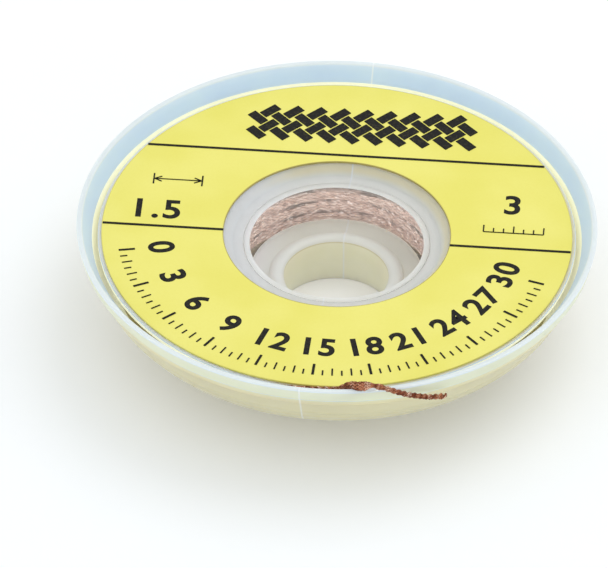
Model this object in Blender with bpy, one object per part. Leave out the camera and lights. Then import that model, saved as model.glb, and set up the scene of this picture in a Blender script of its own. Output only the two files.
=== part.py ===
"""Desoldering braid on its flat moulded spool.

The spool stands on its boss, with its axis on Z and the origin under the
middle of the boss. The label reads with its top towards +Y.
All the sizes below are in millimetres.
"""

import math

import bmesh
import bpy
from mathutils import Vector

MM = 0.001

# Round the whole object
TRAY_STEPS = 60
COIL_STEPS = 40

# Lip and skirt of the tray
LIP_RADIUS = 32.0
LIP_HEIGHT = 14.6
LIP_EDGE = 0.6
EDGE_BREAK = 0.12
BAND_HEIGHT = 1.7
BAND_DRAFT = 0.3
BAND_STEP = 0.3
SKIRT_TAPER = 3.8
SKIRT_RADIUS = LIP_RADIUS - SKIRT_TAPER
SKIRT_HEIGHT = 6.6
SKIRT_WALL = 0.95
CORNER = 0.55
CORNER_STEPS = 3
CORNER_TOP_ANGLE = -25.0
CORNER_FOOT_ANGLE = -75.0

# Lid, label and the slot that the braid comes out of
LIP_RISE = 2.0
LID_TOP = LIP_HEIGHT - LIP_RISE
LID_THICKNESS = 0.9
SLOT_INSET = 2.6
LID_RADIUS = LIP_RADIUS - SLOT_INSET
SLOT_WIDTH = 0.7
LID_CHAMFER = 0.55
LABEL_INSET = 0.45
LABEL_RADIUS = LID_RADIUS - LABEL_INSET
LABEL_THICKNESS = 0.2
LABEL_GAP = 0.2
FIT = 0.3

# Base, boss and hub of the tray
BASE_HEIGHT = 4.0
BASE_WALL = 1.1
BASE_FLAT_RADIUS = 19.0
BOSS_RADIUS = 8.2
BORE_RADIUS = 6.43
BORE_FOOT_RADIUS = 6.9
FOOT_BREAK = 0.22
FLOOR_HEIGHT = 6.15
BEAD_HEIGHT = 0.6
BEAD_WIDTH = 1.9
BEAD_STEPS = 6
HUB_RADIUS = 10.7
HUB_WALL = 0.9
HUB_RIM = 0.75
HUB_DROP = 1.0
HUB_TOP = LID_TOP - HUB_DROP
SEAT_DROP = 1.1
LEDGE_WIDTH = 2.1
COUNTERSINK = 1.15
OPENING_RADIUS = HUB_RADIUS + LEDGE_WIDTH + COUNTERSINK

# Wound braid
BRAID_WIDTH = 1.5
BRAID_LAYER = 0.56
LAYERS = 10
TURN_GROOVE = 0.14
TURN_FLAT = 0.4

# Free tail of the braid
TAIL_RADIUS = 0.25
TAIL_SPACING = 1.1
CURVE_STEPS = 24


def material(name, colour, roughness, metallic=0.0, transmission=0.0):
    """Plain finish for one kind of surface."""
    finish = bpy.data.materials.new(name)
    finish.use_nodes = True
    shader = finish.node_tree.nodes["Principled BSDF"]
    shader.inputs["Base Color"].default_value = (*colour, 1.0)
    shader.inputs["Roughness"].default_value = roughness
    shader.inputs["Metallic"].default_value = metallic
    shader.inputs["Transmission Weight"].default_value = transmission
    finish.diffuse_color = (*colour, 1.0)
    return finish


def turned(name, outline, steps, finish):
    """Closed ring from an outline of (radius, height) points.

    The outline runs down its outer side and back up its inner side.
    """
    mesh = bpy.data.meshes.new(name)
    shape = bmesh.new()
    corners = [shape.verts.new((radius * MM, 0.0, height * MM)) for radius, height in outline]
    for here, after in zip(corners, corners[1:] + corners[:1]):
        shape.edges.new((here, after))
    shape.to_mesh(mesh)
    shape.free()
    ring = bpy.data.objects.new(name, mesh)
    bpy.context.collection.objects.link(ring)
    screw = ring.modifiers.new("turn", "SCREW")
    screw.axis = "Z"
    screw.angle = math.tau
    screw.steps = steps
    screw.render_steps = steps
    screw.use_merge_vertices = True
    screw.merge_threshold = 0.00001
    screw.use_smooth_shade = True
    mesh.materials.append(finish)
    return ring


def arc(centre, size, first, last, count):
    """Points of an arc in the outline, angles in degrees from the radius axis."""
    points = []
    for step in range(count + 1):
        turn = math.radians(first + (last - first) * step / count)
        points.append((centre[0] + size * math.cos(turn), centre[1] + size * math.sin(turn)))
    return points


def skirt_outer(height):
    """Outer radius of the skirt at a height, between its corner and the lip's band."""
    low, high = SKIRT_HEIGHT, LIP_HEIGHT - BAND_HEIGHT - BAND_STEP
    share = (height - low) / (high - low)
    return SKIRT_RADIUS * (1.0 - share) + (LIP_RADIUS - BAND_DRAFT - BAND_STEP) * share


def tray(finish):
    """One moulding: lip, skirt, base, boss and the hub that the braid is wound on."""
    band_foot = LIP_HEIGHT - BAND_HEIGHT
    band_radius = LIP_RADIUS - BAND_DRAFT
    corner_centre = (SKIRT_RADIUS - CORNER, SKIRT_HEIGHT + CORNER)
    outer = [
        (LIP_RADIUS - EDGE_BREAK, LIP_HEIGHT),
        (LIP_RADIUS, LIP_HEIGHT - EDGE_BREAK),
        (band_radius, band_foot),
        (band_radius - BAND_STEP, band_foot - BAND_STEP),
    ]
    outer += arc(corner_centre, CORNER, CORNER_TOP_ANGLE, CORNER_FOOT_ANGLE, CORNER_STEPS)
    outer += [
        (BASE_FLAT_RADIUS, BASE_HEIGHT),
        (BOSS_RADIUS + FOOT_BREAK, BASE_HEIGHT),
        (BOSS_RADIUS, BASE_HEIGHT - FOOT_BREAK),
        (BOSS_RADIUS, FOOT_BREAK),
        (BOSS_RADIUS - FOOT_BREAK, 0.0),
    ]
    bead_centre = BORE_RADIUS + BEAD_WIDTH / 2
    bore = [
        (BORE_FOOT_RADIUS + FOOT_BREAK, 0.0),
        (BORE_FOOT_RADIUS, FOOT_BREAK),
        (BORE_RADIUS, FLOOR_HEIGHT),
    ]
    for step in range(1, BEAD_STEPS):
        turn = math.pi * (1.0 - step / BEAD_STEPS)
        bore.append((bead_centre + BEAD_WIDTH / 2 * math.cos(turn),
                     FLOOR_HEIGHT + BEAD_HEIGHT * math.sin(turn)))
    bore.append((BORE_RADIUS + BEAD_WIDTH, FLOOR_HEIGHT))
    hub = [
        (HUB_RADIUS, FLOOR_HEIGHT),
        (HUB_RADIUS, HUB_TOP - EDGE_BREAK),
        (HUB_RADIUS + EDGE_BREAK, HUB_TOP),
        (HUB_RADIUS + HUB_RIM, HUB_TOP),
        (HUB_RADIUS + HUB_RIM, HUB_TOP - SEAT_DROP),
        (HUB_RADIUS + HUB_WALL, HUB_TOP - SEAT_DROP),
        (HUB_RADIUS + HUB_WALL, BASE_HEIGHT + BASE_WALL),
    ]
    low = SKIRT_HEIGHT + BASE_WALL
    high = LID_TOP - LID_THICKNESS - SKIRT_WALL / 2
    wall = [
        (BASE_FLAT_RADIUS, BASE_HEIGHT + BASE_WALL),
        (skirt_outer(low) - SKIRT_WALL - CORNER, low - CORNER / 2),
        (skirt_outer(low) - SKIRT_WALL, low),
        (skirt_outer(high) - SKIRT_WALL, high),
        (LID_RADIUS + SLOT_WIDTH, LID_TOP),
        (LIP_RADIUS - LIP_EDGE - EDGE_BREAK, LIP_HEIGHT - EDGE_BREAK),
        (LIP_RADIUS - LIP_EDGE, LIP_HEIGHT),
    ]
    return turned("spool_tray", outer + bore + hub + wall, TRAY_STEPS, finish)


def lid(finish):
    """Flat ring that closes the tray, countersunk round the hub and seated on it."""
    foot_radius = OPENING_RADIUS - COUNTERSINK
    inner_radius = HUB_RADIUS + HUB_RIM + FIT
    foot_bottom = HUB_TOP - SEAT_DROP + FIT
    under = LID_TOP - LID_THICKNESS
    slope = (OPENING_RADIUS - foot_radius) / (LID_TOP - HUB_TOP)
    outline = [
        (LID_RADIUS - EDGE_BREAK, LID_TOP),
        (LID_RADIUS, LID_TOP - EDGE_BREAK),
        (LID_RADIUS, under + LID_CHAMFER),
        (LID_RADIUS - LID_CHAMFER, under),
        (OPENING_RADIUS + (HUB_WALL + FIT) * slope / 2, under),
        (foot_radius + LID_THICKNESS / 2, foot_bottom),
        (inner_radius, foot_bottom),
        (inner_radius, HUB_TOP),
        (foot_radius, HUB_TOP),
        (OPENING_RADIUS, LID_TOP),
    ]
    return turned("spool_lid", outline, TRAY_STEPS, finish)


def label(finish):
    """Paper ring on the lid."""
    bottom = LID_TOP + LABEL_GAP
    top = bottom + LABEL_THICKNESS
    inner = OPENING_RADIUS
    outline = [(LABEL_RADIUS, top), (LABEL_RADIUS, bottom), (inner, bottom), (inner, top)]
    return turned("label_ring", outline, TRAY_STEPS, finish)


def coil_inner():
    """Inner radius of the wound braid, just outside the hub."""
    return HUB_RADIUS + HUB_WALL + FIT


def coil_outer():
    """Outer radius of the wound braid."""
    return coil_inner() + LAYERS * BRAID_LAYER


def coil_bottom():
    """Height of the lower end of the wound braid."""
    return BASE_HEIGHT + BASE_WALL + FIT


def coil_top():
    """Height of the upper end of the wound braid, below the lid's foot."""
    return HUB_TOP - SEAT_DROP - FIT


def wound_braid(finish):
    """Wound braid as one turned ring: its layers show on the ends, its turns on the side."""
    inner, outer = coil_inner(), coil_outer()
    bottom, top = coil_bottom(), coil_top()
    turns_across = int((top - bottom) / BRAID_WIDTH)
    pitch = (top - bottom) / turns_across
    layer = (outer - inner) / LAYERS
    outline = []
    for turn in range(turns_across):
        high = top - turn * pitch
        outline.append((outer - TURN_GROOVE, high))
        outline.append((outer, high - (1.0 - TURN_FLAT) / 2 * pitch))
        outline.append((outer, high - (1.0 + TURN_FLAT) / 2 * pitch))
    outline.append((outer - TURN_GROOVE, bottom))
    for ring in range(LAYERS):
        edge = outer - ring * layer
        if ring:
            outline.append((edge, bottom + TURN_GROOVE))
        outline.append((edge - layer / 2, bottom))
    outline.append((inner, bottom + TURN_GROOVE))
    for ring in range(LAYERS):
        edge = inner + ring * layer
        outline.append((edge, top - TURN_GROOVE))
        outline.append((edge + layer / 2, top))
    return turned("wound_braid", outline, COIL_STEPS, finish)


def tail_route():
    """Points that the free end of the braid passes through, in millimetres.

    It leaves the coil, swings out under the lid, follows the slot, rises over
    the lip and lies down along its outer side.
    """
    return [
        under_lid(0.057, -172.0, 0.0),
        under_lid(0.092, -160.0, 0.093),
        under_lid(0.188, -149.0, 0.204),
        under_lid(0.353, -139.0, 0.333),
        under_lid(0.579, -130.5, 0.463),
        under_lid(0.787, -124.0, 0.574),
        under_lid(0.926, -116.5, 0.704),
        under_lid(0.991, -109.0, 0.796),
        under_lid(1.0215, -103.0, 0.889),
        at_lip(-2.25, -97.0, -2.0),
        at_lip(-2.2, -91.0, -1.75),
        at_lip(-2.15, -87.5, -1.65),
        at_lip(-2.05, -85.6, -1.45),
        at_lip(-1.75, -84.4, -0.9),
        at_lip(-1.2, -83.4, -0.1),
        at_lip(-0.7, -82.3, 0.3),
        at_lip(-0.5, -80.8, 0.45),
        at_lip(-0.25, -79.0, 0.72),
        at_lip(0.05, -77.5, 0.7),
        at_lip(0.3, -76.0, 0.5),
        at_lip(0.5, -74.0, 0.05),
        at_lip(0.65, -71.5, -0.6),
        at_lip(0.7, -68.5, -1.2),
        at_lip(0.65, -66.0, -1.75),
        at_lip(0.6, -62.3, -2.3),
    ]


def under_lid(out, degrees, up):
    """Point by its share of the way from the coil's side out to the slot and up to the lid."""
    side = coil_outer()
    middle = (coil_bottom() + coil_top()) / 2
    return polar(side + (LID_RADIUS - side) * out, degrees, middle + (LID_TOP - middle) * up)


def at_lip(out, degrees, up):
    """Point by its distance outside and above the lip's edge."""
    return polar(LIP_RADIUS + out, degrees, LIP_HEIGHT + up)


def polar(radius, degrees, height):
    """Point at a radius and a direction round the axis."""
    turn = math.radians(degrees)
    return Vector((radius * math.cos(turn), radius * math.sin(turn), height))


def smooth_curve(points, spacing):
    """Evenly spaced points on a smooth curve through the given ones."""
    ends = [points[0] * 2 - points[1]] + points + [points[-1] * 2 - points[-2]]
    fine = [points[0]]
    for before, start, end, after in zip(ends, ends[1:], ends[2:], ends[3:]):
        for step in range(1, CURVE_STEPS + 1):
            t = step / CURVE_STEPS
            fine.append(0.5 * (2 * start + (end - before) * t
                               + (2 * before - 5 * start + 4 * end - after) * t ** 2
                               + (3 * start - before - 3 * end + after) * t ** 3))
    total = sum((b - a).length for a, b in zip(fine, fine[1:]))
    count = round(total / spacing)
    even = [fine[0]]
    walked = 0.0
    for a, b in zip(fine, fine[1:]):
        run = (b - a).length
        while len(even) < count and walked + run >= total * len(even) / count:
            even.append(a.lerp(b, (total * len(even) / count - walked) / run))
        walked += run
    even.append(fine[-1])
    return even


def braid_tail(finish):
    """Free end of the braid as a plain tube along its route."""
    line = bpy.data.curves.new("braid_tail", "CURVE")
    line.dimensions = "3D"
    line.bevel_depth = TAIL_RADIUS * MM
    line.bevel_resolution = 2
    line.use_fill_caps = True
    route = smooth_curve(tail_route(), TAIL_SPACING)
    spline = line.splines.new("POLY")
    spline.points.add(len(route) - 1)
    for point, place in zip(spline.points, route):
        point.co = (*(place * MM), 1.0)
    line.materials.append(finish)
    tube = bpy.data.objects.new("braid_tail", line)
    bpy.context.collection.objects.link(tube)
    return tube


def build():
    """Make the whole object in an empty scene."""
    for old in list(bpy.data.objects):
        bpy.data.objects.remove(old)
    plastic = material("natural_plastic", (0.78, 0.84, 0.86), 0.32, transmission=0.35)
    paper = material("yellow_label", (0.90, 0.83, 0.17), 0.45)
    copper = material("braided_copper", (0.62, 0.27, 0.14), 0.38, metallic=1.0)
    tray(plastic)
    lid(plastic)
    label(paper)
    wound_braid(copper)
    braid_tail(copper)


build()
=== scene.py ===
import math

import bpy
import numpy as np
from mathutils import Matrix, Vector


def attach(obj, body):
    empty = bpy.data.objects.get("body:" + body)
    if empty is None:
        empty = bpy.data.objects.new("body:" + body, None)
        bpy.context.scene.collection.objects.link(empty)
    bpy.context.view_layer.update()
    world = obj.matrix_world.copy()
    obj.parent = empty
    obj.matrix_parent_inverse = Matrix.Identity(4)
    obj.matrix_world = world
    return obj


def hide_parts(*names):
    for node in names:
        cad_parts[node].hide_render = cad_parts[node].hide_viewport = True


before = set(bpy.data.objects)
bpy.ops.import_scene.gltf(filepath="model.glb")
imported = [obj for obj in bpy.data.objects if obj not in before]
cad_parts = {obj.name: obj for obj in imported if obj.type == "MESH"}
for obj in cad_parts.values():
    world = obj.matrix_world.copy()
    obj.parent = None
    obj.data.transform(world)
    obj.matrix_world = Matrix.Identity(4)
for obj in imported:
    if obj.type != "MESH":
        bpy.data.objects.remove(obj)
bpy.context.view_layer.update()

scene = bpy.context.scene
mm = 0.001

view = {
    "place": (0.057619, -1.153358, 0.970312),
    "turn": (50.09904, -0.67532, 3.6203),   # degrees
    "lens": 722.74,
    "sensor": 36,
    "nearest": 0.01,
}


def degreesToTurn(degrees):
    return [math.radians(a) for a in degrees]


bpy.ops.object.select_all(action="DESELECT")
bpy.ops.object.camera_add(location=view["place"], rotation=degreesToTurn(view["turn"]))
camera = bpy.context.object
camera.data.lens = view["lens"]
camera.data.sensor_width = view["sensor"]
camera.data.clip_start = view["nearest"]
scene.camera = camera
print("camera placed")


# the free end of the braid: where it runs, in mm out from the axis, degrees round it and mm up
braidTail = {
    "route": [
        (18.178, -172, 7.8), (18.595, -160, 8.2464), (19.737, -149, 8.7792), (21.701, -139, 9.3984),
        (24.39, -130.5, 10.022), (26.865, -124, 10.555), (28.519, -116.5, 11.179), (29.293, -109, 11.621),
        (29.656, -103, 12.067), (29.75, -97, 12.6), (29.8, -91, 12.85), (29.85, -87.5, 12.95),
        (29.95, -85.6, 13.15), (30.25, -84.4, 13.7), (30.8, -83.4, 14.5), (31.3, -82.3, 14.9),
        (31.5, -80.8, 15.05), (31.75, -79, 15.32), (32.05, -77.5, 15.3), (32.3, -76, 15.1),
        (32.5, -74, 14.65), (32.65, -71.5, 14), (32.7, -68.5, 13.4), (32.65, -66, 12.85),
        (32.6, -62.3, 12.3),
    ],
    "length": 0.0552,
    "width": 0.0015,
    "step": 0.13,        # mm between the rings of a strand
    "strands": 16,
    "sides": 7,
    "lay": 4.3,          # mm for one turn of a strand
    "strandWidth": 0.135,
    "strandThick": 0.06,
    "weave": 0.055,
    "shape": [           # share of the length, half width, half thickness, twist in degrees
        (0.00, 0.58, 0.13, 0), (0.735, 0.55, 0.14, 0), (0.765, 0.52, 0.16, -8),
        (0.787, 0.50, 0.17, -35), (0.806, 0.42, 0.17, -48), (0.825, 0.31, 0.17, -140),
        (0.850, 0.28, 0.17, -330), (0.970, 0.26, 0.15, -2000), (1.000, 0.25, 0.14, -2400),
    ],
    "slack": 0.12,       # how much a strand swells and sinks, over this many mm
    "slackLength": 5.1,
    "fray": 1.2,         # mm over which the tip comes apart
    "splay": 0.6,
    "uneven": 0.9,       # mm by which the strands differ in length
    "seed": 7,
}


def atAngle(radius, degrees, height):
    turn = math.radians(degrees)
    return Vector((radius * math.cos(turn), radius * math.sin(turn), height))


def smoothLine(points, spacing, fineness=24):
    # a curve through all the points, cut into even steps
    ends = [points[0] * 2 - points[1]] + points + [points[-1] * 2 - points[-2]]
    fine = [points[0]]
    for before, start, end, after in zip(ends, ends[1:], ends[2:], ends[3:]):
        for step in range(1, fineness + 1):
            t = step / fineness
            fine.append(0.5 * (2 * start + (end - before) * t
                               + (2 * before - 5 * start + 4 * end - after) * t ** 2
                               + (3 * start - before - 3 * end + after) * t ** 3))
    fine = np.array(fine)
    along = np.concatenate([[0], np.cumsum(np.linalg.norm(np.diff(fine, axis=0), axis=1))])
    marks = np.linspace(0, along[-1], round(along[-1] / spacing) + 1)
    return np.stack([np.interp(marks, along, fine[:, axis]) for axis in range(3)], axis=1), marks


def unit(vectors):
    return vectors / np.linalg.norm(vectors, axis=1, keepdims=True)


def meshFromRings(name, strands, sides, across, along):
    # strands: a list of (rings, sides, 3) arrays in mm, each one closed tube
    verts, faces, uvs = [], [], []
    first = 0
    for rings, s, u in zip(strands, along, across):
        count = len(rings)
        verts.append(rings.reshape(-1, 3))
        for ring in range(count - 1):
            a = first + ring * sides
            for side in range(sides):
                b = (side + 1) % sides
                faces.append((a + side, a + b, a + sides + b, a + sides + side))
                uvs += [(s[ring], u[side]), (s[ring], u[side + 1])]
                uvs += [(s[ring + 1], u[side + 1]), (s[ring + 1], u[side])]
        faces.append(tuple(first + side for side in reversed(range(sides))))
        uvs += [(s[0], u[side]) for side in reversed(range(sides))]
        last = first + (count - 1) * sides
        faces.append(tuple(last + side for side in range(sides)))
        uvs += [(s[-1], u[side]) for side in range(sides)]
        first += count * sides
    mesh = bpy.data.meshes.new(name)
    mesh.from_pydata((np.concatenate(verts) * mm).tolist(), [], faces)
    layer = mesh.uv_layers.new(name="lay")
    layer.data.foreach_set("uv", np.array(uvs, dtype=np.float32).ravel())
    mesh.polygons.foreach_set("use_smooth", [True] * len(mesh.polygons))
    piece = bpy.data.objects.new(name, mesh)
    scene.collection.objects.link(piece)
    return piece


def wovenTail(s):
    # strands cross over and under each other round a flattened tube
    line, marks = smoothLine([atAngle(*p) for p in s["route"]], s["step"])
    tangent = unit(np.gradient(line, axis=0))
    upright = unit(np.array([0, 0, 1.0]) - tangent * tangent[:, 2:])
    face = np.cross(tangent, upright)
    share = marks / marks[-1]
    knots = np.array(s["shape"], dtype=float)
    wide, thick, twist = [np.interp(share, knots[:, 0], knots[:, k]) for k in (1, 2, 3)]
    twist = np.radians(twist)
    broad = upright * np.cos(twist)[:, None] + face * np.sin(twist)[:, None]
    flat = -upright * np.sin(twist)[:, None] + face * np.cos(twist)[:, None]
    rand = np.random.default_rng(s["seed"])
    half = s["strands"] // 2
    ringTurn = np.linspace(0, 2 * np.pi, s["sides"] + 1)
    loose = np.clip((marks - marks[-1] + s["fray"]) / s["fray"], 0, 1) ** 1.5
    strands, along = [], []
    for number in range(s["strands"]):
        way = 1 if number < half else -1
        angle = way * 2 * np.pi * marks / s["lay"] + 2 * np.pi * (number % half) / half
        lift = way * s["weave"] * np.cos(np.pi * marks / (s["lay"] / s["strands"]))
        slack = 1 + s["slack"] * np.sin(2 * np.pi * marks / s["slackLength"] + rand.uniform(0, 6.3))
        spread = 1 + loose * rand.uniform(0.0, s["splay"])
        a = (wide * slack + lift) * spread
        b = (thick * slack + lift) * spread
        centre = line + broad * (a * np.cos(angle))[:, None] + flat * (b * np.sin(angle))[:, None]
        out = unit(broad * (np.cos(angle) * thick)[:, None] + flat * (np.sin(angle) * wide)[:, None])
        keep = marks <= marks[-1] - rand.uniform(0, s["uneven"])
        centre, out = centre[keep], out[keep]
        ahead = unit(np.gradient(centre, axis=0))
        side = unit(np.cross(ahead, out))
        out = np.cross(side, ahead)
        rings = (centre[:, None, :]
                 + side[:, None, :] * (s["strandWidth"] * np.cos(ringTurn[:-1]))[None, :, None]
                 + out[:, None, :] * (s["strandThick"] * np.sin(ringTurn[:-1]))[None, :, None])
        strands.append(rings)
        along.append(marks[keep])
    across = [ringTurn / (2 * np.pi)] * len(strands)
    piece = meshFromRings("braid_free_end", strands, s["sides"], across, along)
    return piece, line * mm


freeEnd, freeEndLine = wovenTail(braidTail)
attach(freeEnd, "root")
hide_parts("braid_tail")
print("free end woven")


def arcPoints(centre, radius, first, last, steps):
    turns = [math.radians(first + (last - first) * k / steps) for k in range(steps + 1)]
    return [(centre[0] + radius * math.cos(t), centre[1] + radius * math.sin(t)) for t in turns]


def turnSection(name, section, steps):
    # draws the section in the XZ plane, point by point, and spins it round Z
    bpy.ops.object.select_all(action="DESELECT")
    bpy.ops.mesh.primitive_plane_add(size=mm)
    piece = bpy.context.object
    piece.name = name
    piece.data.name = name
    bpy.ops.object.mode_set(mode="EDIT")
    bpy.ops.mesh.merge(type="CENTER")
    bpy.ops.transform.translate(value=(section[0][0] * mm, 0, section[0][1] * mm))
    for here, there in zip(section, section[1:] + section[:1]):
        move = ((there[0] - here[0]) * mm, 0, (there[1] - here[1]) * mm)
        bpy.ops.mesh.extrude_region_move(TRANSFORM_OT_translate={"value": move})
    bpy.ops.mesh.select_all(action="SELECT")
    bpy.ops.mesh.remove_doubles(threshold=0.000001)
    bpy.ops.mesh.spin(steps=steps, angle=math.tau, center=(0, 0, 0), axis=(0, 0, 1))
    bpy.ops.mesh.select_all(action="SELECT")
    bpy.ops.mesh.remove_doubles(threshold=0.000001)
    bpy.ops.mesh.normals_make_consistent(inside=False)
    bpy.ops.object.mode_set(mode="OBJECT")
    bpy.ops.object.shade_smooth_by_angle(angle=math.radians(32))
    return piece


# radii from the axis and heights from the floor, in mm
tray = {
    "steps": 192,
    "lip": 32.0, "lipTop": 14.6, "lipFlat": 0.6, "lipRound": 0.2,
    "bandFoot": 12.9, "bandDraft": 0.3, "bandStep": 0.3, "bandRound": 0.1, "stepRound": 0.08,
    "ribs": [(11.75, 0.05), (9.2, 0.04), (8.1, 0.05)],      # height, and how far it stands out
    "ribFoot": 0.22, "ribTop": 0.07,
    "skirt": 28.2, "skirtFoot": 6.6, "corner": 0.55, "skirtWall": 0.95, "wallBend": 11.25,
    "baseFlat": 19.0, "base": 4.0, "baseWall": 1.1,
    "boss": 8.2, "bossFillet": 0.3, "footRound": 0.22,
    "bore": 6.43, "boreFoot": 6.9, "floor": 6.15, "bead": (1.9, 0.6), "beadSteps": 12,
    "hub": 10.7, "hubWall": 0.9, "hubRim": 0.75, "hubTop": 11.6, "hubRound": 0.12, "rimRound": 0.05,
    "seat": 1.1, "fillet": 0.35, "innerFillet": 0.2,
    "slotWall": (30.1, 12.6),
}


def traySection(s):
    lip, top = s["lip"], s["lipTop"]
    r = s["lipRound"]
    bandR = lip - s["bandDraft"]
    stepR = bandR - s["bandStep"]
    stepZ = s["bandFoot"] - s["bandStep"]

    def skirtAt(z):
        share = (z - s["skirtFoot"]) / (stepZ - s["skirtFoot"])
        return s["skirt"] + (stepR - s["skirt"]) * share

    # down the outside
    points = arcPoints((lip - r, top - r), r, 90, 0, 5)
    f = s["bandRound"]
    points += arcPoints((bandR - f, s["bandFoot"] + f), f, 0, -80, 3)
    f = s["stepRound"]
    points += arcPoints((stepR + f, stepZ + 0.02), f, 110, 190, 3)
    for z, proud in s["ribs"]:
        foot, crest = s["ribFoot"], s["ribTop"]
        points += [(skirtAt(z + foot), z + foot), (skirtAt(z) + proud, z + crest),
                   (skirtAt(z) + proud, z - crest), (skirtAt(z - foot), z - foot)]
    c = s["corner"]
    points += arcPoints((s["skirt"] - c, s["skirtFoot"] + c), c, -25, -75, 6)
    f = s["bossFillet"]
    points += [(s["baseFlat"], s["base"]), (s["boss"] + f, s["base"])]
    points += arcPoints((s["boss"] + f, s["base"] - f), f, 120, 180, 3)
    f = s["footRound"]
    points += arcPoints((s["boss"] - f, f), f, 0, -90, 4)
    points += arcPoints((s["boreFoot"] + f, f), f, -90, -180, 4)

    # up through the bore, over the bead and up the hub
    beadWide, beadHigh = s["bead"]
    middle = s["bore"] + beadWide / 2
    beadTurns = [math.pi * (1 - k / s["beadSteps"]) for k in range(s["beadSteps"] + 1)]
    points += [(middle + beadWide / 2 * math.cos(t), s["floor"] + beadHigh * math.sin(t)) for t in beadTurns]
    f = s["fillet"]
    points += arcPoints((s["hub"] - f, s["floor"] + f), f, -90, 0, 4)
    f = s["hubRound"]
    points += arcPoints((s["hub"] + f, s["hubTop"] - f), f, 180, 90, 3)
    rim, f = s["hub"] + s["hubRim"], s["rimRound"]
    points += [(rim - f, s["hubTop"]), (rim, s["hubTop"] - f), (rim, s["hubTop"] - s["seat"])]

    # down behind the hub's wall, along the base and up to the lip
    outerHub = s["hub"] + s["hubWall"]
    inside = s["base"] + s["baseWall"]
    low, bend = s["skirtFoot"] + s["baseWall"], s["wallBend"]
    f = s["innerFillet"]
    points += [(outerHub, s["hubTop"] - s["seat"]), (outerHub, inside + f), (outerHub + f, inside),
               (s["baseFlat"], inside), (skirtAt(low) - s["skirtWall"] - c, low - c / 2),
               (skirtAt(low) - s["skirtWall"], low), (skirtAt(bend) - s["skirtWall"], bend), s["slotWall"]]
    points += arcPoints((lip - s["lipFlat"] + 0.08, top - r), r, 165, 90, 4)
    return points


spoolTray = turnSection("spool_tray_body", traySection(tray), tray["steps"])
print("tray turned", len(spoolTray.data.polygons))

lid = {
    "steps": 192,
    "edge": 29.4, "edgeRound": 0.12, "top": 12.78, "thick": 1.08, "chamfer": 0.55,
    "opening": 13.97, "ledge": 12.8, "ledgeTop": 11.6,
    "seat": 11.47, "foot": 10.8, "footOuter": 13.25, "coneFoot": 14.83, "seatChamfer": 0.05,
}


def lidSection(s):
    under = s["top"] - s["thick"]
    f, c = s["edgeRound"], s["seatChamfer"]
    points = arcPoints((s["edge"] - f, s["top"] - f), f, 90, 0, 4)
    points += [(s["edge"], under + s["chamfer"]), (s["edge"] - s["chamfer"], under), (s["coneFoot"], under),
               (s["footOuter"], s["foot"]), (s["seat"] + c, s["foot"]), (s["seat"], s["foot"] + c),
               (s["seat"], s["ledgeTop"] - 0.08), (s["seat"] + 0.08, s["ledgeTop"]),
               (s["ledge"] - 0.15, s["ledgeTop"]), (s["ledge"] + 0.07, s["ledgeTop"] + 0.1),
               (s["opening"] - 0.06, s["top"] - 0.07), (s["opening"] + 0.02, s["top"])]
    return points


spoolLid = turnSection("spool_lid_ring", lidSection(lid), lid["steps"])

label = {"steps": 192, "outer": 28.95, "inner": 13.95, "bottom": 12.79, "top": 13.0}
labelSection = [(label["outer"], label["top"]), (label["outer"], label["bottom"]),
                (label["inner"], label["bottom"]), (label["inner"], label["top"])]
labelRing = turnSection("label_paper", labelSection, label["steps"])
print("lid and label turned")


# the winding: one flat braid, three turns to a layer, that steps over once a turn
winding = {
    "inner": 11.66, "outer": 17.54, "layers": 12, "columns": 3, "bottom": 5.14, "top": 10.3,
    "width": 1.56, "thick": 0.44, "flatness": 0.42,
    "perTurn": 120, "sides": 14,
    "start": 188,               # degrees
    "stepOver": 50,             # degrees of a turn to step over
    "lastRise": 0.02,
    "overlap": 0.05,            # how far the outer turns may press into the walls
    "wander": 0.07,
    "wanderWaves": (1.3, 2.7, 5.3, 9.1),            # waves a turn
    "lean": ((0.09, 3.37), (0.05, 7.9)),            # radians, and waves a turn
    "strandsAcross": 8,
    "seed": 3,
}


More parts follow.
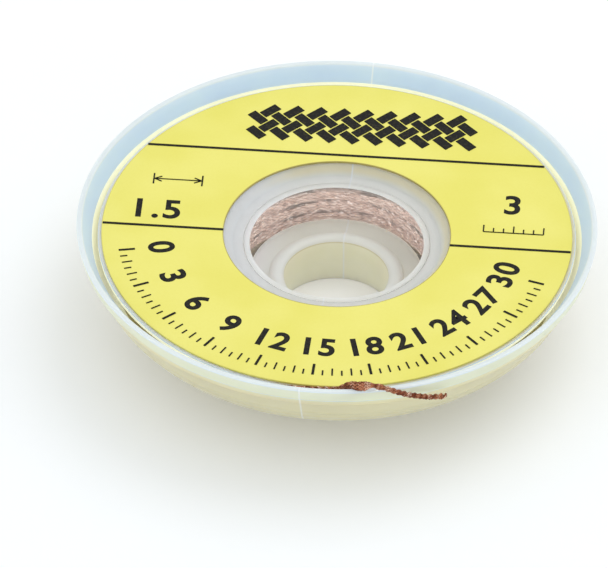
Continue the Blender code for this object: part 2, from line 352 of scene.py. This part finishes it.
def woundBraid(s):
    rand = np.random.default_rng(s["seed"])
    pitch = (s["top"] - s["bottom"]) / s["columns"]
    layerStep = (s["outer"] - s["inner"]) / s["layers"]
    heights, radii = [], []
    for layer in range(s["layers"]):
        for column in range(s["columns"]):
            up = column if layer % 2 == 0 else s["columns"] - 1 - column
            heights.append(s["bottom"] + pitch * (up + 0.5))
            radii.append(s["inner"] + layerStep * (layer + 0.5))
    heights.append(heights[-1])
    radii.append(radii[-1] + s["lastRise"])
    turns = s["layers"] * s["columns"]
    marks = np.arange(turns * s["perTurn"] + 1) / s["perTurn"]
    whole = np.minimum(marks.astype(int), turns - 1)
    over = s["stepOver"] / 360
    share = np.clip((marks - whole - (1 - over)) / over, 0, 1)
    share = share * share * (3 - 2 * share)
    heights, radii = np.array(heights), np.array(radii)
    z = heights[whole] * (1 - share) + heights[whole + 1] * share
    r = radii[whole] * (1 - share) + radii[whole + 1] * share
    for waves in s["wanderWaves"]:
        z = z + s["wander"] * rand.uniform(0.3, 0.8) * np.sin(2 * np.pi * marks * waves + rand.uniform(0, 6.3))
    room = s["width"] / 2 - s["overlap"]
    z = np.clip(z, s["bottom"] + room, s["top"] - room)
    lean = sum(tilt * np.sin(2 * np.pi * marks * waves) for tilt, waves in s["lean"])
    angle = 2 * np.pi * marks + math.radians(s["start"])
    around = np.linspace(0, 2 * np.pi, s["sides"] + 1)[:-1]
    w = s["width"] / 2 * np.sign(np.sin(around)) * np.abs(np.sin(around)) ** s["flatness"]
    t = s["thick"] / 2 * np.sign(np.cos(around)) * np.abs(np.cos(around)) ** s["flatness"]
    radial = r[:, None] + t[None, :] * np.cos(lean)[:, None] - w[None, :] * np.sin(lean)[:, None]
    height = z[:, None] + w[None, :] * np.cos(lean)[:, None] + t[None, :] * np.sin(lean)[:, None]
    rings = np.stack([radial * np.cos(angle)[:, None], radial * np.sin(angle)[:, None], height], axis=2)
    hop = np.hypot(np.diff(np.append(w, w[0])), np.diff(np.append(t, t[0])))
    across = np.concatenate([[0], np.cumsum(hop)])
    across = across / across[-1] * s["strandsAcross"]
    along = np.concatenate([[0], np.cumsum(2 * np.pi / s["perTurn"] * r[1:])])
    return meshFromRings("braid_winding", [rings], s["sides"], [across], [along])


braidWinding = woundBraid(winding)
print("braid wound", len(braidWinding.data.polygons))


# what is printed on the label: plain figures, a scale, thin dividing lines and a plaited strip
printing = {
    "height": 0.012,
    "top": 13.0,
    "turn": -0.8,        # degrees that the print stands askew
    "soft": 0.045,       # rounding of the bars' corners
    "curveSteps": 6,
    "spacing": 1.12,
    "figures": [("3", 4.9, (21.2, 7.2), 0.11),      # text, size, place, boldness
                ("1.5", 4.9, (-22.6, 2.6), 0.11)],
    "scale": {
        "first": -168, "last": -16, "units": 30, "every": 3,
        "figureRadius": 21.9, "figureSize": 4.4, "figureBold": 0.13,
        "tickRadius": 27.0, "tickWidth": 0.2, "tallTickBold": 1.6,
        "ticks": (0.9, 1.3, 2.0),       # half, whole and figured marks
    },
    "lines": [((0, 15.2), 49.2, 0.38), ((-21.4, -0.5), 14.9, 0.38), ((21.4, -1.0), 14.9, 0.38)],
    "plait": {
        "centre": (1.6, 20.9), "pitch": 2.9, "rows": 4, "bars": 10,
        "long": 2.5, "wide": 1.25, "turn": 45,
    },
    "ruler": {
        "centre": (21.6, 2.0), "long": 7.4, "wide": 0.16,
        "marks": 7, "every": 3, "tall": 1.3, "short": 0.8,
    },
    "widthMark": {
        "centre": (-20.3, 8.6), "long": 6.0, "wide": 0.16, "gap": 0.5,
        "stop": (0.18, 2.0), "head": (1.0, 0.16), "headPlace": (0.55, 0.25), "headTurn": 28,
    },
}
figures, bars = [], []


def onLabel(place):
    return place[0] * mm, place[1] * mm, (printing["top"] + printing["height"] / 2) * mm


def printBox(place, size, turn=0):
    bpy.ops.mesh.primitive_cube_add(size=1, location=onLabel(place), rotation=(0, 0, math.radians(turn)),
                                    scale=(size[0] * mm, size[1] * mm, printing["height"] * mm))
    bars.append(bpy.context.object)


def printFigure(text, size, place, bold, turn=0):
    bpy.ops.object.text_add(location=onLabel(place), rotation=(0, 0, math.radians(turn)))
    figure = bpy.context.object
    figure.data.body = text
    figure.data.size = size * mm
    figure.data.align_x = "CENTER"
    figure.data.align_y = "CENTER"
    figure.data.offset = bold * mm
    figure.data.extrude = printing["height"] / 2 * mm
    figure.data.resolution_u = printing["curveSteps"]
    figure.data.space_character = printing["spacing"]
    bpy.ops.object.convert(target="MESH")
    figures.append(bpy.context.object)


def printScale(s):
    for mark in range(0, 2 * s["units"] + 1):
        turn = s["first"] + (s["last"] - s["first"]) * mark / s["units"] / 2
        c, sn = math.cos(math.radians(turn)), math.sin(math.radians(turn))
        figured = mark % (2 * s["every"]) == 0
        long = s["ticks"][2 if figured else 1 - mark % 2]
        r = s["tickRadius"] - long / 2
        printBox((r * c, r * sn), (long, s["tickWidth"] * (s["tallTickBold"] if figured else 1)), turn)
        if figured:
            r = s["figureRadius"]
            printFigure(str(mark // 2), s["figureSize"], (r * c, r * sn), s["figureBold"], turn + 90)


def printPlait(s):
    for row in range(s["rows"]):
        for bar in range(s["bars"] - row % 2):
            x = s["centre"][0] + (bar - (s["bars"] - 1 - row % 2) / 2) * s["pitch"]
            y = s["centre"][1] + (row - (s["rows"] - 1) / 2) * s["pitch"] / 2
            printBox((x, y), (s["long"], s["wide"]), s["turn"] if row % 2 else -s["turn"])


def printRuler(s):
    printBox(s["centre"], (s["long"], s["wide"]))
    for mark in range(s["marks"]):
        x = s["centre"][0] + s["long"] * (mark / (s["marks"] - 1) - 0.5)
        tall = s["tall"] if mark % s["every"] == 0 else s["short"]
        printBox((x, s["centre"][1] + tall / 2), (s["wide"], tall))


def printWidthMark(s):
    printBox(s["centre"], (s["long"] - s["gap"], s["wide"]))
    inward, aside = s["headPlace"]
    for way in (-1, 1):
        end = s["centre"][0] + way * s["long"] / 2
        printBox((end, s["centre"][1]), s["stop"])
        for lean in (-1, 1):
            place = (end - way * inward, s["centre"][1] + lean * aside)
            printBox(place, s["head"], -way * lean * s["headTurn"])


def joinMarks(marks):
    bpy.ops.object.select_all(action="DESELECT")
    for mark in marks:
        mark.select_set(True)
    bpy.context.view_layer.objects.active = marks[0]
    bpy.ops.object.transform_apply(location=True, rotation=True, scale=True)
    bpy.ops.object.join()
    return bpy.context.object


def roundCorners(piece, offset):
    # the ink runs round at the upright edges of each bar
    mesh = piece.data
    for item in list(mesh.vertices) + list(mesh.polygons) + list(mesh.edges):
        item.select = False
    for line in mesh.edges:
        low, high = [mesh.vertices[k].co for k in line.vertices]
        line.select = math.hypot(low.x - high.x, low.y - high.y) < 0.01 * mm
    bpy.ops.object.mode_set(mode="EDIT")
    bpy.ops.mesh.select_mode(type="EDGE")
    bpy.ops.mesh.bevel(offset=offset, segments=2, affect="EDGES")
    bpy.ops.object.mode_set(mode="OBJECT")


bpy.ops.object.select_all(action="DESELECT")
for text, size, place, bold in printing["figures"]:
    printFigure(text, size, place, bold)
for place, long, wide in printing["lines"]:
    printBox(place, (long, wide))
printScale(printing["scale"])
printPlait(printing["plait"])
printRuler(printing["ruler"])
printWidthMark(printing["widthMark"])
barMarks = joinMarks(bars)
roundCorners(barMarks, printing["soft"] * mm)
labelPrint = joinMarks([barMarks] + figures)
bpy.ops.transform.rotate(value=math.radians(-printing["turn"]), orient_axis="Z", center_override=(0, 0, 0))
bpy.ops.object.transform_apply(location=True, rotation=True, scale=True)
labelPrint.name = "label_print"
print("label printed", len(labelPrint.data.polygons))


# shader tools
def addNode(tree, kind, **settings):
    node = tree.nodes.new(kind)
    for name, value in settings.items():
        setattr(node, name, value)
    return node


def plug(tree, socket, value):
    if isinstance(value, bpy.types.NodeSocket):
        tree.links.new(value, socket)
    else:
        socket.default_value = value


def calc(tree, operation, first, second=None, third=None):
    node = addNode(tree, "ShaderNodeMath", operation=operation)
    for socket, value in zip(node.inputs, (first, second, third)):
        if value is not None:
            plug(tree, socket, value)
    return node.outputs[0]


def sine(tree, value, times):
    return calc(tree, "SINE", calc(tree, "MULTIPLY", value, times))


def pick(tree, choice, first, second):
    # the first where the choice is 1, the second where it is 0
    chosen = calc(tree, "MULTIPLY", choice, first)
    other = calc(tree, "MULTIPLY", calc(tree, "SUBTRACT", 1.0, choice), second)
    return calc(tree, "ADD", chosen, other)


def spread(tree, value, low, high, newLow=0.0, newHigh=1.0):
    node = addNode(tree, "ShaderNodeMapRange", interpolation_type="SMOOTHSTEP")
    names = ("Value", "From Min", "From Max", "To Min", "To Max")
    for name, item in zip(names, (value, low, high, newLow, newHigh)):
        plug(tree, node.inputs[name], item)
    return node.outputs["Result"]


def mixColour(tree, factor, first, second, blend="MIX"):
    node = addNode(tree, "ShaderNodeMix", data_type="RGBA", blend_type=blend)
    plug(tree, node.inputs["Factor"], factor)
    plug(tree, node.inputs[6], first)
    plug(tree, node.inputs[7], second)
    return node.outputs[2]


def noise(tree, place, scale, detail=3.0, rough=0.55):
    node = addNode(tree, "ShaderNodeTexNoise")
    plug(tree, node.inputs["Vector"], place)
    node.inputs["Scale"].default_value = scale
    node.inputs["Detail"].default_value = detail
    node.inputs["Roughness"].default_value = rough
    return node.outputs["Fac"]


def split(tree, place):
    node = addNode(tree, "ShaderNodeSeparateXYZ")
    tree.links.new(place, node.inputs[0])
    return node.outputs


def fromAxis(tree, place):
    # distance from the spool's axis
    flat = addNode(tree, "ShaderNodeVectorMath", operation="MULTIPLY")
    plug(tree, flat.inputs[0], place)
    flat.inputs[1].default_value = (1, 1, 0)
    reach = addNode(tree, "ShaderNodeVectorMath", operation="LENGTH")
    tree.links.new(flat.outputs[0], reach.inputs[0])
    return reach.outputs["Value"]


def newGroup(name, inputs, outputs):
    group = bpy.data.node_groups.new(name, "ShaderNodeTree")
    for title, kind, value in inputs:
        socket = group.interface.new_socket(name=title, in_out="INPUT", socket_type=kind)
        if value is not None:
            socket.default_value = value
    for title, kind in outputs:
        group.interface.new_socket(name=title, in_out="OUTPUT", socket_type=kind)
    return group, group.nodes.new("NodeGroupInput").outputs, group.nodes.new("NodeGroupOutput").inputs


colour, number, vector = "NodeSocketColor", "NodeSocketFloat", "NodeSocketVector"

# moulded plastic: cooler above, warmer below, both tones partly painted reflection and bounce light over the
# plastic's own tone; faint flow marks, and the mould's parting line
mould = {
    "cloudScale": 140.0, "grainScale": 1900.0,
    "roughness": (0.29, 0.38),
    "grainHeight": 0.02, "cloudHeight": 0.3,
    "partingAcross": (0.9965, -0.083),      # the line runs square to this, through the axis
    "partingWidth": (0.00004, 0.00016),     # metres: full, and faded out
    "partingColour": (0.93, 0.96, 0.97, 1),
}
moulding, gin, gout = newGroup("mouldedPlastic", [
    ("Position", vector, None),
    ("Upper Colour", colour, (0.7, 0.8, 0.85, 1)),
    ("Lower Colour", colour, (0.7, 0.7, 0.6, 1)),
    ("Change From", number, 0.0115),
    ("Change To", number, 0.0135),
    ("Mottle", number, 0.05),
    ("Line", number, 0.5),
], [("Colour", colour), ("Roughness", number), ("Height", number)])
parts = split(moulding, gin["Position"])
high = spread(moulding, parts[2], gin["Change From"], gin["Change To"])
base = mixColour(moulding, high, gin["Lower Colour"], gin["Upper Colour"])
cloud = noise(moulding, gin["Position"], mould["cloudScale"], 3.0)
fine = noise(moulding, gin["Position"], mould["grainScale"], 2.0)
shade = calc(moulding, "MULTIPLY_ADD", calc(moulding, "SUBTRACT", cloud, 0.5), gin["Mottle"], 1.0)
sideX = calc(moulding, "MULTIPLY", parts[0], mould["partingAcross"][0])
sideY = calc(moulding, "MULTIPLY", parts[1], mould["partingAcross"][1])
parting = calc(moulding, "ABSOLUTE", calc(moulding, "ADD", sideX, sideY))
parting = calc(moulding, "MULTIPLY", spread(moulding, parting, *mould["partingWidth"], 1.0, 0.0), gin["Line"])
toned = mixColour(moulding, 1.0, base, shade, "MULTIPLY")
moulding.links.new(mixColour(moulding, parting, toned, mould["partingColour"]), gout["Colour"])
moulding.links.new(spread(moulding, cloud, 0.3, 0.7, *mould["roughness"]), gout["Roughness"])
waves = calc(moulding, "ADD", calc(moulding, "MULTIPLY", cloud, mould["cloudHeight"]), parting)
relief = calc(moulding, "ADD", calc(moulding, "MULTIPLY", fine, mould["grainHeight"]), waves)
moulding.links.new(relief, gout["Height"])

# copper wire: tone from painted shade in the gaps to bright tops, with a tint that wanders along the braid
copper, gin, gout = newGroup("copperTone", [
    ("Position", vector, None),
    ("Relief", number, 0.5),
    ("PaintedShade", colour, (0.1, 0.04, 0.02, 1)),
    ("Bright", colour, (0.86, 0.52, 0.40, 1)),
    ("Tarnish", colour, (0.5, 0.24, 0.16, 1)),
], [("Colour", colour), ("Roughness", number)])
patches = noise(copper, gin["Position"], 900.0, 3.0)
wires = mixColour(copper, spread(copper, patches, 0.38, 0.66), gin["Bright"], gin["Tarnish"])
copper.links.new(mixColour(copper, gin["Relief"], gin["PaintedShade"], wires), gout["Colour"])
copper.links.new(spread(copper, patches, 0.3, 0.7, 0.29, 0.46), gout["Roughness"])

# flat braid: two sets of strands at a slant, each over and under the other
weave, gin, gout = newGroup("plainWeave", [
    ("Along", number, 0.0),
    ("Across", number, 0.0),
    ("Strand Length", number, 0.8),
    ("Wires", number, 4.0),
], [("Height", number), ("Open", number)])
run = calc(weave, "DIVIDE", gin["Along"], gin["Strand Length"])
p = calc(weave, "ADD", run, gin["Across"])
q = calc(weave, "SUBTRACT", run, gin["Across"])
squares = calc(weave, "ADD", calc(weave, "FLOOR", p), calc(weave, "FLOOR", q))
over = calc(weave, "FLOORED_MODULO", squares, 2.0)
fp, fq = calc(weave, "FRACT", p), calc(weave, "FRACT", q)
crossP, crossQ = sine(weave, fp, math.pi), sine(weave, fq, math.pi)
top = pick(weave, over, crossP, crossQ)
low = pick(weave, over, crossQ, crossP)
face = pick(weave, over, fp, fq)
wire = calc(weave, "ABSOLUTE", sine(weave, calc(weave, "MULTIPLY", face, gin["Wires"]), math.pi))
hump = calc(weave, "MULTIPLY", calc(weave, "POWER", top, 0.5), calc(weave, "MULTIPLY_ADD", low, 0.5, 0.5))
weave.links.new(calc(weave, "MULTIPLY", hump, calc(weave, "MULTIPLY_ADD", wire, 0.3, 0.7)), gout["Height"])
# Open is low in the gaps between strands, where the braid's painted shade goes
weave.links.new(spread(weave, hump, 0.15, 0.6), gout["Open"])


def newMaterial(name):
    made = bpy.data.materials.new(name)
    made.use_nodes = True
    tree = made.node_tree
    place = addNode(tree, "ShaderNodeTexCoord").outputs["Object"]
    return made, tree, tree.nodes["Principled BSDF"], place


def useGroup(tree, group, **values):
    node = addNode(tree, "ShaderNodeGroup", node_tree=group)
    for name, value in values.items():
        plug(tree, node.inputs[name.replace("_", " ")], value)
    return node


def bump(tree, shader, height, distance):
    node = addNode(tree, "ShaderNodeBump")
    node.inputs["Strength"].default_value = 1.0
    node.inputs["Distance"].default_value = distance
    tree.links.new(height, node.inputs["Height"])
    tree.links.new(node.outputs["Normal"], shader.inputs["Normal"])


# upper and lower colour and the heights between which one turns into the other, in metres;
# clear is light that passes through, line the strength of the parting line,
# and glow stands for daylight that comes through the thin wall
plastics = {
    # the skirt's warm lower colour is painted yellow bounce light and its cooler upper colour painted sky
    # reflection, over the plastic's own milky tone
    "milkyPlastic": {"upper": (0.79, 0.82, 0.63, 1), "lower": (0.77, 0.71, 0.47, 1),
                     "change": (0.0118, 0.0132), "clear": 0.15, "alpha": 1.0, "line": 0.6},
    # the lip's blue lower colour is painted sky reflection on its inner wall, and its glow painted light
    "coolPlastic": {"upper": (0.74, 0.80, 0.80, 1), "lower": (0.64, 0.76, 0.94, 1),
                    "change": (0.0143, 0.01455), "clear": 0.15, "alpha": 1.0, "line": 0.6,
                    "glow": (0.5, 0.68, 1.0, 1), "glowStrength": 0.06},
    # the slot's pale yellow is painted reflection of the yellow label, and its glow painted light
    "slotPlastic": {"upper": (0.88, 0.86, 0.66, 1), "lower": (0.88, 0.86, 0.66, 1),
                    "change": (0.0118, 0.0132), "clear": 0.0, "alpha": 1.0, "line": 0.0,
                    "glow": (0.80, 0.81, 0.62, 1), "glowStrength": 0.28},
    # the bore's pale yellow is painted yellow light coming through the wall
    "borePlastic": {"upper": (0.96, 0.91, 0.72, 1), "lower": (0.96, 0.91, 0.72, 1),
                    "change": (0.002, 0.006), "clear": 0.1, "alpha": 1.0, "line": 0.6},
    # the lid's beige upper colour is painted reflection of the yellow label on the opening's cone
    "lidPlastic": {"upper": (0.90, 0.79, 0.55, 1), "lower": (0.86, 0.86, 0.79, 1),
                   "change": (0.0115, 0.0123), "clear": 0.15, "alpha": 1.0, "line": 0.6},
    "hubPlastic": {"upper": (0.90, 0.92, 0.92, 1), "lower": (0.90, 0.92, 0.92, 1),
                   "change": (0.0045, 0.0105), "clear": 0.0, "alpha": 0.18, "line": 0.9},
}


def plasticMaterial(name, s):
    made, tree, shader, place = newMaterial(name)
    skin = useGroup(tree, moulding, Position=place, Upper_Colour=s["upper"], Lower_Colour=s["lower"],
                    Change_From=s["change"][0], Change_To=s["change"][1], Mottle=0.16, Line=s["line"])
    tree.links.new(skin.outputs["Colour"], shader.inputs["Base Color"])
    tree.links.new(skin.outputs["Roughness"], shader.inputs["Roughness"])
    shader.inputs["IOR"].default_value = 1.49
    shader.inputs["Transmission Weight"].default_value = s["clear"]
    shader.inputs["Alpha"].default_value = s["alpha"]
    shader.inputs["Subsurface Weight"].default_value = 1.0
    shader.inputs["Subsurface Radius"].default_value = (1.0, 1.0, 1.0)
    shader.inputs["Subsurface Scale"].default_value = 0.002
    if "glow" in s:
        shader.inputs["Emission Color"].default_value = s["glow"]
        shader.inputs["Emission Strength"].default_value = s["glowStrength"]
    bump(tree, shader, skin.outputs["Height"], 0.00002)
    return made


milkyPlastic, coolPlastic, slotPlastic, borePlastic, lidPlastic, hubPlastic = [
    plasticMaterial(name, settings) for name, settings in plastics.items()]

# the lid is paler and cooler toward the left, where daylight falls on it
lidSide = {"from": -0.004, "to": -0.0125, "strength": 0.85, "colour": (0.96, 1.0, 1.0, 1)}
tree, shader = lidPlastic.node_tree, lidPlastic.node_tree.nodes["Principled BSDF"]
leftward = split(tree, addNode(tree, "ShaderNodeTexCoord").outputs["Object"])[0]
leftward = spread(tree, leftward, lidSide["from"], lidSide["to"], 0.0, lidSide["strength"])
lidTone = shader.inputs["Base Color"].links[0].from_socket
tree.links.new(mixColour(tree, leftward, lidTone, lidSide["colour"]), shader.inputs["Base Color"])

paper = {
    "fibreScale": 2600.0, "cloudScale": 90.0,
    "tints": ((0.88, 0.80, 0.14, 1), (0.93, 0.85, 0.19, 1)),
    "fibreColour": (0.78, 0.68, 0.10, 1),
    "outerEdgeShade": (0.02880, 0.02893, 0.0, 0.3),      # metres from the axis, from none to this much
    "innerEdgeShade": (0.01397, 0.01412, 1.0, 0.0),
    "edgeShadeShare": 0.75,
    "edgeShadeColour": (0.28, 0.20, 0.06, 1),
    "roughness": (0.42, 0.56),
}
yellowPaper, tree, shader, place = newMaterial("yellowPaper")
fibres = noise(tree, place, paper["fibreScale"], 4.0, 0.7)
cloud = noise(tree, place, paper["cloudScale"], 2.0)
tint = mixColour(tree, spread(tree, cloud, 0.3, 0.7), *paper["tints"])
tint = mixColour(tree, spread(tree, fibres, 0.35, 0.75, 0.0, 0.1), tint, paper["fibreColour"])
reach = fromAxis(tree, place)
# painted shadow: thin dark rings along the paper's outer and inner edges, where the lip and the hub opening
# shade the label
outerEdgeShade = spread(tree, reach, *paper["outerEdgeShade"])
innerEdgeShade = spread(tree, reach, *paper["innerEdgeShade"])
edge = calc(tree, "MULTIPLY", calc(tree, "MAXIMUM", outerEdgeShade, innerEdgeShade), paper["edgeShadeShare"])
tree.links.new(mixColour(tree, edge, tint, paper["edgeShadeColour"]), shader.inputs["Base Color"])
tree.links.new(spread(tree, fibres, 0.3, 0.8, *paper["roughness"]), shader.inputs["Roughness"])
bump(tree, shader, fibres, 0.000008)

ink = {
    "speckScale": 3800.0,
    "colours": ((0.008, 0.007, 0.006, 1), (0.05, 0.045, 0.02, 1)),
    "roughness": (0.38, 0.6),
}
blackInk, tree, shader, place = newMaterial("blackInk")
specks = noise(tree, place, ink["speckScale"], 3.0)
tree.links.new(mixColour(tree, spread(tree, specks, 0.45, 0.8), *ink["colours"]), shader.inputs["Base Color"])
tree.links.new(spread(tree, specks, 0.3, 0.8, *ink["roughness"]), shader.inputs["Roughness"])
shader.inputs["Specular IOR Level"].default_value = 0.15
bump(tree, shader, specks, 0.000004)

# streaks run along the braid: dark ones, painted shade in the gaps, and glints, painted highlights, each from
# where the noise passes two limits
braidFinishes = {
    "wovenCopper": {"bright": (0.74, 0.53, 0.45, 1), "tarnish": (0.58, 0.38, 0.31, 1),
                    "dark": (0.12, 0.08, 0.075, 1), "glint": (1.0, 0.88, 0.81, 1),
                    "streaks": (1.15, 1.9), "glintRange": (0.53, 0.65, 0.0, 0.85), "depth": 0.00006,
                    "glow": 0.6, "glowRange": (0.01205, 0.0123, 1.0, 0.0)},
    "strandCopper": {"bright": (0.74, 0.29, 0.15, 1), "tarnish": (0.30, 0.08, 0.04, 1),
                     "dark": (0.07, 0.02, 0.014, 1), "glint": (1.0, 0.74, 0.56, 1),
                     "streaks": (1.6, 3.0), "glintRange": (0.57, 0.64, 0.0, 0.9), "depth": 0.00002},
}


def wovenRelief(tree, place, along, across):
    # the weave is bright, with painted shade in its gaps, and painted shade closes over the flat braid's
    # edges, between the turns, but for broken patches
    pattern = useGroup(tree, weave, Along=along, Across=across)
    middle = calc(tree, "ABSOLUTE", calc(tree, "SUBTRACT", across, winding["strandsAcross"] / 2))
    rim = spread(tree, middle, 1.25, 1.5, 1.0, 0.0)
    broken = spread(tree, noise(tree, place, 420.0, 2.0), 0.40, 0.52, 0.0, 0.7)
    unshadedShare = calc(tree, "MULTIPLY", pattern.outputs["Open"], calc(tree, "MAXIMUM", rim, broken))
    return pattern.outputs["Height"], unshadedShare


def strandRelief(tree, across):
    # fine wires side by side round a strand, with painted shade between the wires and on the strand's sides,
    # where it turns away from the light
    height = calc(tree, "MULTIPLY_ADD", sine(tree, across, 2 * math.pi * 8), 0.5, 0.5)
    paintedCrownLight = spread(tree, calc(tree, "ABSOLUTE", sine(tree, across, 2 * math.pi)), 0.1, 0.7)
    return height, calc(tree, "MULTIPLY", spread(tree, height, 0.0, 0.5, 0.45, 1.0), paintedCrownLight)


def braidMaterial(name, s, woven):
    made, tree, shader, place = newMaterial(name)
    along, across, _ = split(tree, addNode(tree, "ShaderNodeUVMap", uv_map="lay").outputs[0])
    # relief here is the painted shade, low in the gaps, and height is the bump
    if woven:
        height, relief = wovenRelief(tree, place, along, across)
    else:
        height, relief = strandRelief(tree, across)
    tone = useGroup(tree, copper, Position=place, Relief=relief, Bright=s["bright"], Tarnish=s["tarnish"])
    drawn = addNode(tree, "ShaderNodeCombineXYZ")
    tree.links.new(calc(tree, "MULTIPLY", along, s["streaks"][0]), drawn.inputs[0])
    tree.links.new(calc(tree, "MULTIPLY", across, s["streaks"][1]), drawn.inputs[1])
    streaks = noise(tree, drawn.outputs[0], 1.0, 2.0, 0.6)
    # painted shade in the dark streaks, then painted highlights in the glints
    skin = mixColour(tree, spread(tree, streaks, 0.46, 0.35, 0.0, 0.7), tone.outputs["Colour"], s["dark"])
    skin = mixColour(tree, spread(tree, streaks, *s["glintRange"]), skin, s["glint"])
    tree.links.new(skin, shader.inputs["Base Color"])
    tree.links.new(tone.outputs["Roughness"], shader.inputs["Roughness"])
    shader.inputs["Metallic"].default_value = 1.0
    if "glow" in s:
        # only behind the hub's wall, where daylight comes through
        near = spread(tree, fromAxis(tree, place), *s["glowRange"])
        tree.links.new(mixColour(tree, near, (0, 0, 0, 1), skin), shader.inputs["Emission Color"])
        shader.inputs["Emission Strength"].default_value = s["glow"]
    bump(tree, shader, height, s["depth"])
    return made


wovenCopper = braidMaterial("wovenCopper", braidFinishes["wovenCopper"], True)
strandCopper = braidMaterial("strandCopper", braidFinishes["strandCopper"], False)

paleFloor, tree, shader, place = newMaterial("paleFloor")
grain = noise(tree, place, 30.0, 4.0)
floorTone = mixColour(tree, grain, (0.92, 0.925, 0.93, 1), (0.95, 0.955, 0.96, 1))
tree.links.new(floorTone, shader.inputs["Base Color"])
shader.inputs["Roughness"].default_value = 0.6
shader.inputs["Emission Color"].default_value = (1, 1, 1, 1)
shader.inputs["Emission Strength"].default_value = 0.1

# where one finish ends and the next begins, in mm
borders = {
    "hubInside": 10.65, "hubOutside": 11.8, "hubRim": 11.6, "rimDepth": 0.15,
    "floorInner": 6.5, "boreOuter": 6.95, "underFloor": 0.02,
    "lipDepth": 0.2, "lipWall": 0.05, "slotFoot": 7,
    "lidEdgeDepth": 0.13, "lidTopDepth": 0.1, "lidSideIn": 1.2,
}


def trayFinish(face, radius, height, s):
    facesIn = face.normal.x * face.center.x + face.normal.y * face.center.y < 0
    rimFrom = tray["hubTop"] - s["rimDepth"]
    floorFrom = tray["floor"] - s["underFloor"]
    # the hub's wall is seen through; its rim is flush with the lid's ledge and looks the same
    if s["hubInside"] < radius < s["hubOutside"] and tray["floor"] + tray["fillet"] < height < rimFrom:
        return hubPlastic
    if radius < s["hubRim"] and (height > rimFrom or (radius > s["floorInner"] and height > floorFrom)):
        return lidPlastic
    if height > tray["lipTop"] - s["lipDepth"]:
        return coolPlastic
    if height > tray["slotWall"][1] and radius < tray["lip"] - tray["lipFlat"] + s["lipWall"]:
        return coolPlastic
    if radius < s["boreOuter"] and height < floorFrom:
        return borePlastic
    if tray["baseFlat"] < radius and facesIn and height > s["slotFoot"]:
        return slotPlastic
    return milkyPlastic


def lidFinish(face, radius, height, s):
    # the edge beyond the label is cool, what faces into the slot is lit from inside
    if radius > label["outer"] and height > lid["top"] - s["lidEdgeDepth"]:
        return coolPlastic
    if radius > label["outer"] - s["lidSideIn"] and height < lid["top"] - s["lidTopDepth"]:
        return slotPlastic
    return lidPlastic


def giveFinishes(piece, finishes, choose=None):
    piece.data.materials.clear()
    for finish in finishes:
        piece.data.materials.append(finish)
    if choose:
        for face in piece.data.polygons:
            radius = math.hypot(face.center.x, face.center.y) / mm
            height = face.center.z / mm
            face.material_index = finishes.index(choose(face, radius, height, borders))


trayFinishes = [milkyPlastic, hubPlastic, lidPlastic, coolPlastic, slotPlastic, borePlastic]
giveFinishes(spoolTray, trayFinishes, trayFinish)
giveFinishes(spoolLid, [lidPlastic, coolPlastic, slotPlastic], lidFinish)
giveFinishes(labelRing, [yellowPaper])
giveFinishes(labelPrint, [blackInk])
giveFinishes(braidWinding, [wovenCopper])
giveFinishes(freeEnd, [strandCopper])
for piece, nodes, name in ((spoolTray, ["spool_tray"], "natural_plastic"),
                           (spoolLid, ["spool_lid"], "natural_plastic"),
                           (labelRing, ["label_ring"], "yellow_label"),
                           (labelPrint, [], "yellow_label"),
                           (braidWinding, ["wound_braid"], "braided_copper")):
    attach(piece, "root")
    if nodes:
        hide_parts(*nodes)
print("finishes set")


studio = {
    "floorSize": 3,
    "sky": (0.93, 0.97, 1.0, 1),
    "skyStrength": 0.88,
    "lamps": [      # place, turn in degrees, size, power
        ((0.22, 0.2, 0.5), (-20, 24, 0), 0.4, 0.6),
        ((-0.4, -0.3, 0.35), (45, -40, 0), 0.3, 0.15),
    ],
}
bpy.ops.object.select_all(action="DESELECT")
bpy.ops.mesh.primitive_plane_add(size=studio["floorSize"])
floor = bpy.context.object
floor.name = "floor"
floor.data.materials.append(paleFloor)

world = bpy.data.worlds.new("studio")
scene.world = world
world.use_nodes = True
sky = world.node_tree.nodes["Background"]
sky.inputs["Color"].default_value = studio["sky"]
sky.inputs["Strength"].default_value = studio["skyStrength"]
for place, turn, size, power in studio["lamps"]:
    bpy.ops.object.light_add(type="AREA", location=place, rotation=degreesToTurn(turn))
    lamp = bpy.context.object.data
    lamp.size = size
    lamp.energy = power
scene.view_settings.view_transform = "Standard"
print("floor and light set")
